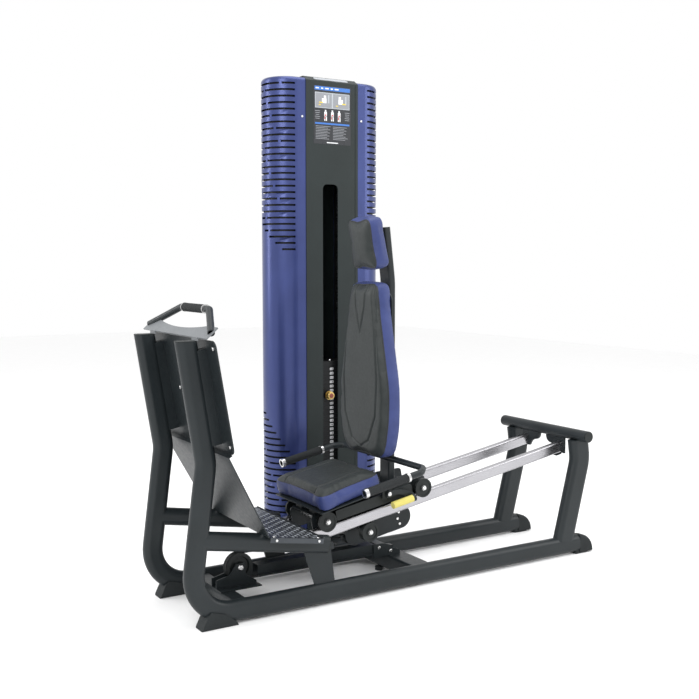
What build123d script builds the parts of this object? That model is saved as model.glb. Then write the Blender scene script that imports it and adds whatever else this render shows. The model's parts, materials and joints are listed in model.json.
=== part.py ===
from build123d import *
import math
import os

# Leg press with a sliding seat, a fixed foot plate and a shrouded weight tower.
# +X runs up the rails, away from the foot plate; +Y runs from the bench towards the tower; +Z is up.
# Every function works about the bench's own centre plane, y = 0; BENCH_Y moves all of it at the end,
# so that the origin is on the floor under the middle of the whole machine.

# ---------------------------------------------------------------- driving dimensions (mm)
BENCH_Y = -173.0            # the bench's centre plane in the finished frame
SHIFT_X = -1.0

FRAME_HALF = 198.0          # centre plane to the side frames
TUBE_TALL = 76.0
TUBE_WIDE = 48.0
WALL = 3.0
BASE_Z = 44.0               # centreline of the base tubes
BASE_REAR_X = 875.0
UPRIGHT_TOP = (-915.0, 990.0)
UPRIGHT_KINK = (-849.0, 570.0)
FRONT_CORNER = (-917.0, BASE_Z)
LEG_TALL = 100.0
CROSSBAR = (862.0, 517.0)
CROSSBAR_R = 24.0
CROSSBAR_HALF = 270.0

RAIL_HALF = 111.0
RAIL_WIDE = 30.0
RAIL_TALL = 46.0
RAIL_SLOPE = 0.1785
RAIL_TOP_AT_0 = 326.3       # height of the rail's top line at x = 0
RAIL_FRONT_X = -392.0
RAIL_REAR_X = 853.0

FOOT_TOP = (-856.5, 995.0)
FOOT_BOTTOM = (-790.0, 610.0)
FOOT_HALF = 300.0
TOE_TOP = (-807.0, 607.0)
TOE_BOTTOM = (-645.0, 305.0)
STEP_FRONT = (-640.0, 303.0)
STEP_REAR = (-428.0, 269.0)
STEP_HALF = 270.0
PLATE_T = 5.0

SEAT_SLOPE = 12.0
SEAT_FRONT_X = -409.0
SEAT_FRONT_TOP = 403.0
SEAT_LENGTH = 305.0
SEAT_HALF = 206.0
SEAT_THICK = 70.0
BACK_FRONT_X = -100.0
BACK_THICK = 70.0
HEAD_CENTRE = (-76.5, 0.0, 1327.5)
HEAD_LEAN = 10.1

WHEEL_R = 38.0
TREAD_R = 18.0
AXLE_R = 10.0
RUNNING = 0.05              # radial clearance of a turning fit
GAP = 0.3                   # air between a rolling or sliding piece and its track
WHEEL_X = (-330.0, 108.0)
ROLLER_R = 37.5
ROLLER_X = -153.0

SLED_END = (70.0, 228.0)    # centre of the sled beam's round rear end
SLED_R = 45.0
SLED_HALF_WIDE = 30.0
SLED_CENTRES = 222.0

CABLE_R = 3.0
CABLE_Y = -8.0
FRONT_PULLEY = (-645.0, 135.0)
FRONT_WRAP = 48.0           # radius of the cable's centreline round the front pulley
RUN_Z = FRONT_PULLEY[1] - FRONT_WRAP
TURN_WRAP = 40.0
TOP_WRAP = 45.0
TOP_RUN_Z = 1930.0

TOWER_X = 43.0
TOWER_Y = 578.5
TOWER_LONG = 550.0
TOWER_DEEP = 212.0
TOWER_TOP = 2036.0
TOWER_BOTTOM = 24.0
SHELL_T = 3.0
PANEL_LEFT = -86.0
PANEL_RIGHT = 173.0
PANEL_TOP = 2018.0
FRONT_Y = TOWER_Y - TOWER_DEEP / 2
BACK_Y = TOWER_Y + TOWER_DEEP / 2

STACK_X = 33.0
STACK_Y = 558.0
STACK_TOP = 817.5
TOP_PLATE_T = 25.0
PLATE_T_STACK = 18.6
PLATE_PITCH = 19.2
PLATE_COUNT = 24
LIFTED_COUNT = 7
PLATE_HALF_X = 122.0
PLATE_HALF_Y = 60.0
STEM_R = 12.0
GUIDE_R = 10.0
GUIDE_HALF = 95.0
HOLE_GAP = 1.5
PIN_R = 5.0
HEAD_PLATE_Z = 1965.0

LEVER_PIVOT = (-66.0, 362.0)

RAIL_ANGLE = math.atan(RAIL_SLOPE)
COS_R = math.cos(RAIL_ANGLE)
SIN_R = math.sin(RAIL_ANGLE)
COS_S = math.cos(math.radians(SEAT_SLOPE))
SIN_S = math.sin(math.radians(SEAT_SLOPE))

parts = {}


# ---------------------------------------------------------------- helpers
def push(plane, sketch, amount):
    """Extrude a sketch along its plane's z, whichever way round its outline was drawn."""
    return extrude(plane * sketch, amount=amount, dir=plane.z_dir)


def side_extrude(sketch, y_low, y_high):
    """Extrude a sketch drawn in X and Z between two values of y."""
    return push(Plane(origin=(0, y_high, 0), x_dir=(1, 0, 0), z_dir=(0, -1, 0)), sketch, y_high - y_low)


def outline(points, radius=0.0):
    face = Polygon(*points, align=None)
    return fillet(face.vertices(), radius) if radius else face


def box_between(low, high):
    size = [high[i] - low[i] for i in range(3)]
    middle = [(high[i] + low[i]) / 2 for i in range(3)]
    return Pos(*middle) * Box(*size)


def round_y(centre, radius, y_low, y_high):
    return side_extrude(Pos(*centre) * Circle(radius), y_low, y_high)


def round_z(x, y, radius, z_low, z_high):
    return extrude(Pos(x, y, z_low) * Circle(radius), amount=z_high - z_low)


def round_x(y, z, radius, x_low, x_high):
    plane = Plane(origin=(x_low, y, z), x_dir=(0, 1, 0), z_dir=(1, 0, 0))
    return extrude(plane * Circle(radius), amount=x_high - x_low)


def cut(solid, *tools):
    """Take the tools away and keep the largest piece that is left."""
    for tool in tools:
        solid = solid - tool
    return solid.solids().sort_by(SortBy.VOLUME)[-1]


def other_side(shape):
    return mirror(shape, about=Plane.XZ)


def both_sides(shape):
    return [shape, other_side(shape)]


def swept(path, face, wall=0.0):
    """Sweep a face along a path, solid or as a tube with the given wall."""
    plane = Plane(origin=path @ 0, x_dir=(0, 1, 0), z_dir=path % 0)
    solid = sweep(plane * face, path=path)
    return solid - sweep(plane * offset(face, -wall), path=path) if wall else solid


def rail_point(x, lift=0.0):
    """The point `lift` above the rails' top line, measured at right angles to it."""
    return (x - lift * SIN_R, RAIL_TOP_AT_0 + RAIL_SLOPE * x + lift * COS_R)


def rail_box(x_low, x_high, lift_low, lift_high, y_low, y_high, radius=0.0):
    corners = [rail_point(x_low, lift_low), rail_point(x_high, lift_low),
               rail_point(x_high, lift_high), rail_point(x_low, lift_high)]
    return side_extrude(outline(corners, radius), y_low, y_high)


def seat_point(along, lift=0.0):
    """A point in the seat's slope: `along` from its front edge, `lift` from its top face."""
    return (SEAT_FRONT_X + along * COS_S - lift * SIN_S, SEAT_FRONT_TOP + along * SIN_S + lift * COS_S)


def dome_head(plane, radius=7.0, height=4.0):
    """A dome head standing on the given plane."""
    head = extrude(plane * Circle(radius), amount=height)
    def height_of(edge):
        return (edge.center() - plane.origin).dot(plane.z_dir)
    return fillet(head.edges().filter_by(GeomType.CIRCLE).sort_by(height_of)[-1], height * 0.6)


def bolt_y(x, z, y, out=-1, radius=8.0, height=5.0):
    return dome_head(Plane(origin=(x, y, z), x_dir=(1, 0, 0), z_dir=(0, out, 0)), radius, height)


def keep(name, *shapes):
    """Add solids to a node, moved from the bench's plane to the finished frame."""
    for shape in shapes:
        for item in (shape if isinstance(shape, (list, tuple)) else [shape]):
            moved = [solid.moved(Location((SHIFT_X, BENCH_Y, 0))) for solid in item.solids()]
            parts.setdefault(name, []).extend(moved)


# ---------------------------------------------------------------- bench frame
def make_core():
    """One side frame as a solid bar, for trimming its neighbours."""
    step = 0.12
    above = tuple(a + (a - b) * step for a, b in zip(UPRIGHT_TOP, UPRIGHT_KINK))
    points = [above, UPRIGHT_KINK, FRONT_CORNER, (BASE_REAR_X, BASE_Z)]
    path = FilletPolyline(*[(x, -FRAME_HALF, z) for x, z in points], radius=[150, 140])
    return path, SlotOverall(TUBE_TALL, TUBE_WIDE, rotation=90)


def frame_parts():
    path, oval = make_core()
    core = swept(path, oval)
    top_z = UPRIGHT_TOP[1]
    above = box_between((-1100, -300, top_z), (-700, -100, 1200))
    frame = swept(path, oval, WALL) - above
    keep("side_frame_left", frame)
    keep("side_frame_right", other_side(frame))
    keep("tube_plugs", both_sides(core & box_between((-1100, -300, top_z), (-700, -100, top_z + 3))))

    low, high = BASE_Z - TUBE_TALL / 2, BASE_Z + TUBE_TALL / 2
    edges = [Line((BASE_REAR_X, high), (BASE_REAR_X, low)), Line((BASE_REAR_X, low), (BASE_REAR_X + 80, low)),
             EllipticalCenterArc((BASE_REAR_X, low), 80, high - low, start_angle=0, arc_size=90)]
    cap = side_extrude(make_face(edges), -FRAME_HALF - 24, -FRAME_HALF + 24)
    cap = fillet(cap.faces().filter_by(Axis.Y).edges().filter_by(GeomType.ELLIPSE), 12)
    keep("rear_end_caps", both_sides(cap))
    pad = box_between((BASE_REAR_X - 22, -FRAME_HALF - 20, 0), (BASE_REAR_X + 54, -FRAME_HALF + 20, 20))
    pad = fillet(pad.edges().filter_by(Axis.Z), 8)
    keep("rubber_pads", both_sides(cut(pad, core, cap)))
    boot = side_extrude(outline([(-882, 0), (-744, 0), (-752, 14), (-792, 46), (-846, 62), (-858, 50)]),
                        -FRAME_HALF - 30, -FRAME_HALF + 30)
    boot = chamfer(boot.faces().sort_by(Axis.Z)[0].edges().filter_by(Axis.X), 4)
    boot = cut(boot, core)
    keep("rubber_pads", both_sides(boot))

    leg_path = FilletPolyline((794, -FRAME_HALF, 60), (884, -FRAME_HALF, 410),
                              (871, -FRAME_HALF, 500), radius=150)
    leg_face = SlotOverall(LEG_TALL, TUBE_WIDE, rotation=90)
    bar = round_y(CROSSBAR, CROSSBAR_R, -CROSSBAR_HALF, CROSSBAR_HALF)
    leg = swept(leg_path, leg_face)
    inside = swept(leg_path, offset(leg_face, -WALL)) & box_between((700, -300, 0), (1000, 0, 470))
    keep("rear_legs", both_sides(cut(leg, inside, core, bar)))
    keep("rail_crossbar", bar - round_y(CROSSBAR, CROSSBAR_R - WALL, -CROSSBAR_HALF, CROSSBAR_HALF))
    keep("tube_plugs", both_sides(round_y(CROSSBAR, CROSSBAR_R - 1, -CROSSBAR_HALF - 3, -CROSSBAR_HALF)))

    def cross_beam(x_low, x_high, z_low, z_high):
        solid = box_between((x_low, -FRAME_HALF, z_low), (x_high, FRAME_HALF, z_high))
        solid = fillet(solid.edges().filter_by(Axis.Y), 9)
        bore = box_between((x_low + WALL, -FRAME_HALF, z_low + WALL),
                           (x_high - WALL, FRAME_HALF, z_high - WALL))
        return cut(solid, bore, core, other_side(core))

    keep("crossbeams", cross_beam(-742, -680, 22, 66))
    keep("crossbeams", cross_beam(5, 95, 20, 80))
    keep("rubber_pads", round_z(12, 45, 16.5, 0, 14) + round_z(12, 45, 6, 14, 20))
    return core


def rail_parts():
    rail = rail_box(RAIL_FRONT_X, RAIL_REAR_X + 20, -RAIL_TALL, 0, RAIL_HALF - RAIL_WIDE / 2,
                    RAIL_HALF + RAIL_WIDE / 2)
    rail = fillet([e for e in rail.edges() if e.length > 1000], 8)
    rail = rail - box_between((RAIL_REAR_X, 0, 0), (RAIL_REAR_X + 200, 300, 900))
    keep("guide_rail_right", rail)
    keep("guide_rail_left", other_side(rail))
    keep("crossbeams", rail_box(RAIL_FRONT_X, RAIL_FRONT_X + 50, -RAIL_TALL - 26, -RAIL_TALL, -174, 174))

    wave = [Line((20, 520), (20, 492)), ThreePointArc((20, 492), (27, 472), (46, 462)),
            ThreePointArc((46, 462), (70, 452), (84, 430)), Line((84, 430), (134, 426)),
            Line((134, 426), (134, 520)), Line((134, 520), (20, 520))]
    plane = Plane(origin=(RAIL_REAR_X, 0, 0), x_dir=(0, 1, 0), z_dir=(1, 0, 0))
    bar = round_y(CROSSBAR, CROSSBAR_R, -CROSSBAR_HALF, CROSSBAR_HALF)
    hanger = push(plane, make_face(wave), 9)
    keep("frame_brackets", both_sides(cut(hanger, bar)))
    keep("frame_brackets", both_sides(rail_box(812, 844, -RAIL_TALL - 10, -RAIL_TALL, 102, 120, 3)))


def step_parts(core):
    oval = SlotOverall(67, TUBE_WIDE, rotation=90)
    path = Line((-905, -FRAME_HALF, 314.5), (-377, -FRAME_HALF, 225))
    solid_tube = swept(path, oval)
    tube = (swept(path, oval, WALL) - core).solids().sort_by(Axis.X)[-1]
    keep("step_tubes", both_sides(tube))
    end_plane = Plane(origin=path @ 1, x_dir=(0, 1, 0), z_dir=path % 1)
    keep("tube_plugs", both_sides(extrude(end_plane * offset(oval, -1), amount=4)))
    gusset = side_extrude(outline([(-478, 225), (-361, 210), (-341, 60), (-420, 60)]),
                          -FRAME_HALF - 4, -FRAME_HALF + 4)
    plug_room = extrude(end_plane * oval, amount=6)
    keep("frame_brackets", both_sides(cut(gusset, core, solid_tube, plug_room)))
    return solid_tube


def leaning_plane(top, bottom):
    """Plane of a plate that leans along the machine; its y runs up the plate, its z rearwards."""
    middle = ((top[0] + bottom[0]) / 2, 0, (top[1] + bottom[1]) / 2)
    rise = Vector(top[0] - bottom[0], 0, top[1] - bottom[1])
    return Plane(origin=middle, x_dir=(0, 1, 0), z_dir=Vector(0, 1, 0).cross(rise)), rise.length


def foot_parts(core, step_tube):
    plane, length = leaning_plane(FOOT_TOP, FOOT_BOTTOM)
    foot = extrude(plane * RectangleRounded(2 * FOOT_HALF, length, 24), amount=PLATE_T)
    keep("foot_plate", foot)
    spacer = extrude(plane * Pos(-FRAME_HALF, 0) * Rectangle(40, length - 60), amount=-45)
    keep("frame_brackets", both_sides((spacer - core).solids().sort_by(Axis.X)[-1]))
    back = Plane(origin=plane.origin, x_dir=plane.x_dir, z_dir=plane.z_dir * -1)
    spots = [(y, along) for y in (22 - FOOT_HALF, FOOT_HALF - 22) for along in (26 - length / 2, length / 2 - 26)]
    spots += [(-85, 0), (85, 0)]
    keep("frame_screws", [dome_head(Plane(origin=plane.origin + plane.x_dir * y + plane.y_dir * along,
                                               x_dir=back.x_dir, z_dir=back.z_dir)) for y, along in spots])

    plane, length = leaning_plane(TOE_TOP, TOE_BOTTOM)
    half = length / 2
    toe_face = Polygon((4 - FOOT_HALF, half), (FOOT_HALF - 4, half), (STEP_HALF, -half), (-STEP_HALF, -half),
                       align=None)
    keep("toe_panel", cut(push(plane, toe_face, -4), core, other_side(core), step_tube, other_side(step_tube)))

    run = math.dist(STEP_FRONT, STEP_REAR)
    tilt = math.atan2(STEP_REAR[1] - STEP_FRONT[1], STEP_REAR[0] - STEP_FRONT[0])
    deck_plane = Plane(origin=(STEP_FRONT[0], 0, STEP_FRONT[1]), x_dir=(math.cos(tilt), 0, math.sin(tilt)),
                       z_dir=(-math.sin(tilt), 0, math.cos(tilt)))
    deck = extrude(deck_plane * Pos(run / 2, 0) * Rectangle(run, 2 * STEP_HALF), amount=-4)
    flange = extrude(deck_plane * Pos(run / 2, 2 - STEP_HALF) * Rectangle(run, 4), amount=-18)
    lip = extrude(deck_plane * Pos(run - 1.5, 0) * Rectangle(3, 2 * STEP_HALF), amount=5)
    step = deck + flange + other_side(flange) + lip
    keep("step_plate", cut(step, step_tube, other_side(step_tube)))
    screws = []
    for y in (14 - STEP_HALF, STEP_HALF - 14):
        for along in (18, run - 18):
            spot = deck_plane.origin + deck_plane.x_dir * along + Vector(0, y, 0)
            screws.append(dome_head(Plane(origin=spot, x_dir=deck_plane.x_dir, z_dir=deck_plane.z_dir), 6, 3))
    for x, z in ((-617, 290), (-448, 263)):
        screws += both_sides(bolt_y(x, z, -STEP_HALF, -1, 5, 3))
    keep("frame_screws", screws)


def handle_parts():
    """Inclined bracket plate over the uprights with a round grab handle."""
    front, rear = (-884.0, 1005.0), (-843.0, 1041.0)
    run = math.dist(front, rear)
    tilt = math.atan2(rear[1] - front[1], rear[0] - front[0])
    plane = Plane(origin=(front[0], 0, front[1]), x_dir=(math.cos(tilt), 0, math.sin(tilt)),
                  z_dir=(-math.sin(tilt), 0, math.cos(tilt)))
    edges = [Line((0, -296), (run, -296)), Line((run, -296), (run, -215)),
             ThreePointArc((run, -215), (run - 20, 0), (run, 215)), Line((run, 215), (run, 296)),
             Line((run, 296), (0, 296)), Line((0, 296), (0, -296))]
    sheet = push(plane, make_face(edges), -PLATE_T)
    tab = box_between((-884, -FRAME_HALF - 24, 993), (-879, -FRAME_HALF + 24, 1005))
    corners = [(-861.4, -286.6, 1022.3), (-797, -125, 1092), (-797, 125, 1092), (-861.4, 286.6, 1022.3)]
    path = FilletPolyline(*corners, radius=28)
    start = Plane(origin=path @ 0, x_dir=(1, 0, 0), z_dir=path % 0)
    rod = sweep(start * Circle(12.5), path=path)
    keep("handle_tube", rod - sweep(start * Circle(9.5), path=path))
    keep("handle_bracket", cut(sheet + tab + other_side(tab), rod))
    top = (corners[1][0], corners[1][2])
    grip = round_y(top, 16, -92, 92)
    keep("handle_grip", grip - rod)
    keep("frame_screws", both_sides(round_y(top, 17, -97, -92) - rod))


# ---------------------------------------------------------------- cable drive under the bench
def grooved_pulley(radius, wrap, wide, bore):
    """A pulley about Z with a groove for the cable and a recessed web."""
    half = wide / 2
    root = wrap - CABLE_R - GAP
    web = half * 0.5
    upper = [(bore, half), (bore + 8, half), (bore + 10, web), (root - 8, web), (root - 5, half), (radius, half)]
    groove = [(root, CABLE_R + 1), (root, -CABLE_R - 1)]
    lower = [(r, -h) for r, h in reversed(upper)]
    return revolve(Plane.XZ * Polygon(*(upper + groove + lower), align=None), Axis.Z)


def drive_parts():
    x, z = FRONT_PULLEY
    upright = Plane(origin=(x, CABLE_Y, z), x_dir=(1, 0, 0), z_dir=(0, -1, 0))
    keep("front_pulley", upright * grooved_pulley(53, FRONT_WRAP, 28, 8))
    cheek = outline([(-742, 70), (-580, 70), (-580, 78), (-622, 104), (-628, 150), (-662, 150),
                     (-690, 112), (-742, 100)])
    cheeks = [side_extrude(cheek, CABLE_Y - 22, CABLE_Y - 17), side_extrude(cheek, CABLE_Y + 17, CABLE_Y + 22)]
    keep("drive_brackets", box_between((-742, -70, 66), (-577, 70, 70)), cheeks)
    axle = round_y((x, z), 8 - RUNNING, CABLE_Y - 17, CABLE_Y + 17)
    heads = [bolt_y(x, z, CABLE_Y - 22, -1, 11, 7), bolt_y(x, z, CABLE_Y + 22, 1, 11, 7)]
    keep("pulley_pins", axle, heads)

    low, high = 95.0, 134.0
    channel = box_between((-575, CABLE_Y - 23, low), (-66, CABLE_Y + 23, high))
    channel -= box_between((-575, CABLE_Y - 20, low), (-66, CABLE_Y + 20, high - 3))
    lip = box_between((-575, CABLE_Y - 33, low), (-66, CABLE_Y - 23, low + 3))
    keep("drive_brackets", channel + lip)
    edges = [Line((-66, 134), (-66, 80)), Line((-66, 80), (60, 80)), Line((60, 80), (60, 96)),
             Line((60, 96), (26, 112)), ThreePointArc((26, 112), (-4, 130), (-40, 134)), Line((-40, 134), (-66, 134))]
    bracket = side_extrude(make_face(edges), -36, -31)
    keep("drive_brackets", bracket)
    keep("frame_screws", bolt_y(-42, 120, -36, -1, 7, 5), bolt_y(14, 100, -36, -1, 7, 5))

    turn = (STACK_X - TURN_WRAP, CABLE_Y + TURN_WRAP)
    keep("turning_pulley", Pos(*turn, RUN_Z) * grooved_pulley(44, TURN_WRAP, 11, 6))
    arm = box_between((turn[0] - 14, turn[1] - 14, 98), (62, turn[1] + 14, 103))
    leg = box_between((56, turn[1] - 14, 80), (62, turn[1] + 14, 98))
    keep("drive_brackets", arm + leg)
    keep("pulley_pins", round_z(*turn, 6 - RUNNING, RUN_Z - 8, 98))

    cover = box_between((STACK_X - 16, FRAME_HALF + 24, 80), (STACK_X + 16, FRONT_Y - 3, 102))
    cover -= box_between((STACK_X - 13, FRAME_HALF + 24, 80), (STACK_X + 13, FRONT_Y - 3, 99))
    keep("drive_brackets", cover)
    tie = box_between((5, FRAME_HALF + 24, 20), (95, FRONT_Y - 3, 80))
    tie = fillet(tie.edges().filter_by(Axis.Y), 9)
    keep("crossbeams", tie - box_between((8, FRAME_HALF + 24, 23), (92, FRONT_Y - 3, 77)))


def arc_point(centre, radius, degrees):
    turn = math.radians(degrees)
    return (centre[0] + radius * math.cos(turn), centre[1] + radius * math.sin(turn))


def cable_parts():
    """The steel cable: fixed run round the pulleys, and the two free strands that change length."""
    x, z = FRONT_PULLEY
    low_z = RUN_Z + TOP_WRAP
    high_z = TOP_RUN_Z - TOP_WRAP
    up_y = STACK_Y + 2 * TOP_WRAP
    turn = (STACK_X - TURN_WRAP, CABLE_Y + TURN_WRAP)
    bend = arc_point(turn, TURN_WRAP, -45)
    foot = arc_point((up_y - TOP_WRAP, low_z), TOP_WRAP, -45)
    edges = [
        ThreePointArc((x, CABLE_Y, z + FRONT_WRAP), (x - FRONT_WRAP, CABLE_Y, z), (x, CABLE_Y, RUN_Z)),
        Line((x, CABLE_Y, RUN_Z), (turn[0], CABLE_Y, RUN_Z)),
        ThreePointArc((turn[0], CABLE_Y, RUN_Z), (*bend, RUN_Z), (STACK_X, turn[1], RUN_Z)),
        Line((STACK_X, turn[1], RUN_Z), (STACK_X, up_y - TOP_WRAP, RUN_Z)),
        ThreePointArc((STACK_X, up_y - TOP_WRAP, RUN_Z), (STACK_X, *foot), (STACK_X, up_y, low_z)),
        Line((STACK_X, up_y, low_z), (STACK_X, up_y, high_z)),
        ThreePointArc((STACK_X, up_y, high_z), (STACK_X, up_y - TOP_WRAP, TOP_RUN_Z),
                      (STACK_X, STACK_Y, high_z))]
    path = Wire(edges)
    start = Plane(origin=path @ 0, z_dir=path % 0)
    keep("cable", sweep(start * Circle(CABLE_R), path=path))
    keep("stack_strand", round_z(STACK_X, STACK_Y, CABLE_R, STACK_TOP + 50, high_z))
    clevis = sled_point(-SLED_CENTRES - SLED_R - 14, 0)
    run = Line((x, CABLE_Y, z + FRONT_WRAP), (clevis[0] - 1, CABLE_Y, clevis[1]))
    keep("sled_strand", sweep(Plane(origin=run @ 0, z_dir=run % 0) * Circle(CABLE_R), path=run))
    for name, centre in (("tower_low_pulley", low_z), ("tower_top_pulley", high_z)):
        along_x = Plane(origin=(STACK_X, up_y - TOP_WRAP, centre), x_dir=(0, 1, 0), z_dir=(1, 0, 0))
        keep(name, along_x * grooved_pulley(50, TOP_WRAP, 24, 8))
    forks = []
    for centre, z_low, z_high in ((low_z, TOWER_BOTTOM, low_z + 14), (high_z, high_z - 14, HEAD_PLATE_Z)):
        y = up_y - TOP_WRAP
        for side in (-1, 1):
            middle = STACK_X + side * 17
            forks.append(box_between((middle - 3, y - 14, z_low), (middle + 3, y + 14, z_high)))
        forks.append(round_x(y, centre, 8 - RUNNING, STACK_X - 14, STACK_X + 14))
    keep("tower_inner_frame", forks)


# ---------------------------------------------------------------- weight tower
def tower_outline(grow=0.0):
    return Pos(TOWER_X, TOWER_Y) * SlotOverall(TOWER_LONG + 2 * grow, TOWER_DEEP + 2 * grow)


def slot_arc(side, z, tall, start, stop):
    """A cutter that opens the tower's round end from `start` to `stop` degrees off the front."""
    end_x = TOWER_X + side * (TOWER_LONG - TOWER_DEEP) / 2
    ring = Circle(TOWER_DEEP / 2 + 6) - Circle(TOWER_DEEP / 2 - 9)
    count = max(2, int((stop - start) / 25) + 1)
    fan = [(0, 0)]
    for i in range(count + 1):
        fan.append(arc_point((0, 0), 240, -90 + side * (start + (stop - start) * i / count)))
    wedge = Polygon(*fan, align=None)
    return extrude(Plane(origin=(end_x, TOWER_Y, z - tall / 2)) * (ring & wedge), amount=tall)


def louvres(side):
    """Rows of slots round one end: a field at the top and one at the bottom, with slanting edges."""
    rows = [(2006 - 26.8 * i, 6, 174 - 17 * max(0, i - 18), i) for i in range(27)]
    rows += [(596 - 26.8 * i, max(8, 88 - 11 * i), 174, i + 4) for i in range(18)]
    cutters = []
    for z, start, stop, index in rows:
        bridge = 40 + (index * 47) % 105
        spans = [(start, stop)]
        if start + 14 < bridge < stop - 14:
            spans = [(start, bridge - 3), (bridge + 3, stop)]
        cutters += [slot_arc(side, z, 8.5, a, b) for a, b in spans if b - a > 5]
    return cutters


def tower_parts():
    tall = TOWER_TOP - TOWER_BOTTOM
    outer = extrude(Pos(0, 0, TOWER_BOTTOM) * tower_outline(), amount=tall)
    outer = fillet(outer.faces().sort_by(Axis.Z)[-1].edges(), 18)
    inner = extrude(Pos(0, 0, TOWER_BOTTOM) * tower_outline(-SHELL_T), amount=tall - SHELL_T)
    inner = fillet(inner.faces().sort_by(Axis.Z)[-1].edges(), 15)
    shell = outer - inner
    low, high = TOWER_Y - 200, TOWER_Y + 200
    front = shell & box_between((-400, low, 0), (PANEL_LEFT, high, 2200))
    rear = shell & box_between((PANEL_RIGHT, low, 0), (500, high, 2200))
    keep("shroud_front", cut(front, *louvres(-1)))
    keep("shroud_rear", cut(rear, *louvres(1)))

    panel = box_between((PANEL_LEFT, FRONT_Y - 3, TOWER_BOTTOM), (PANEL_RIGHT, FRONT_Y + 3, PANEL_TOP))
    recess = box_between((-50, FRONT_Y - 3, 1760), (137, FRONT_Y - 1.5, 2008))
    groove = box_between((157, FRONT_Y - 3, TOWER_BOTTOM), (160, FRONT_Y - 1.5, PANEL_TOP))
    window = box_between((-5, FRONT_Y - 10, 330), (71, FRONT_Y + 10, 1590))
    window = fillet(window.edges().filter_by(Axis.Y), 22)
    cable_hole = box_between((STACK_X - 13, FRONT_Y - 10, 80), (STACK_X + 13, FRONT_Y + 10, 99))
    keep("front_panel", cut(panel, recess, groove, window, cable_hole))
    keep("placard", box_between((-49.5, FRONT_Y - 2.9, 1760.5), (136.5, FRONT_Y - 1.5, 2007.5)))
    keep("top_and_back_panel", box_between((PANEL_LEFT, BACK_Y - 4, TOWER_BOTTOM), (PANEL_RIGHT, BACK_Y, PANEL_TOP)))

    crown = TOWER_TOP + 9
    profile = [(FRONT_Y - 3, PANEL_TOP), (FRONT_Y - 3, PANEL_TOP + 8), (FRONT_Y + 26, crown), (BACK_Y - 24, crown),
               (BACK_Y, PANEL_TOP), (BACK_Y - 4, PANEL_TOP), (BACK_Y - 27, crown - 4), (FRONT_Y + 27, crown - 4),
               (FRONT_Y + 1, PANEL_TOP + 6), (FRONT_Y + 1, PANEL_TOP)]
    side = Plane(origin=(PANEL_LEFT + 0.2, 0, 0), x_dir=(0, 1, 0), z_dir=(1, 0, 0))
    keep("top_and_back_panel", push(side, Polygon(*profile, align=None), PANEL_RIGHT - PANEL_LEFT - 0.4))
    slope = math.atan2(crown - PANEL_TOP - 8, 29)
    middle = Vector(TOWER_X, FRONT_Y + 11.5, (crown + PANEL_TOP + 8) / 2)
    badge = Plane(origin=middle, x_dir=(1, 0, 0), z_dir=(0, -math.sin(slope), math.cos(slope)))
    keep("top_badge", extrude(badge * SlotOverall(170, 20), amount=1.5))
    keep("frame_screws", [bolt_y(x, 1870, FRONT_Y, -1, 5, 3) for x in (-104, 191)])

    keep("tower_inner_frame", extrude(tower_outline(-5), amount=TOWER_BOTTOM))
    keep("tower_inner_frame", [box_between((STACK_X + s * 160 - 12, TOWER_Y - 25, TOWER_BOTTOM),
                                       (STACK_X + s * 160 + 12, TOWER_Y + 25, HEAD_PLATE_Z)) for s in (-1, 1)])
    keep("tower_inner_frame", box_between((STACK_X - 172, TOWER_Y - 80, HEAD_PLATE_Z),
                                   (STACK_X + 172, TOWER_Y + 80, HEAD_PLATE_Z + 12)))


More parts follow.
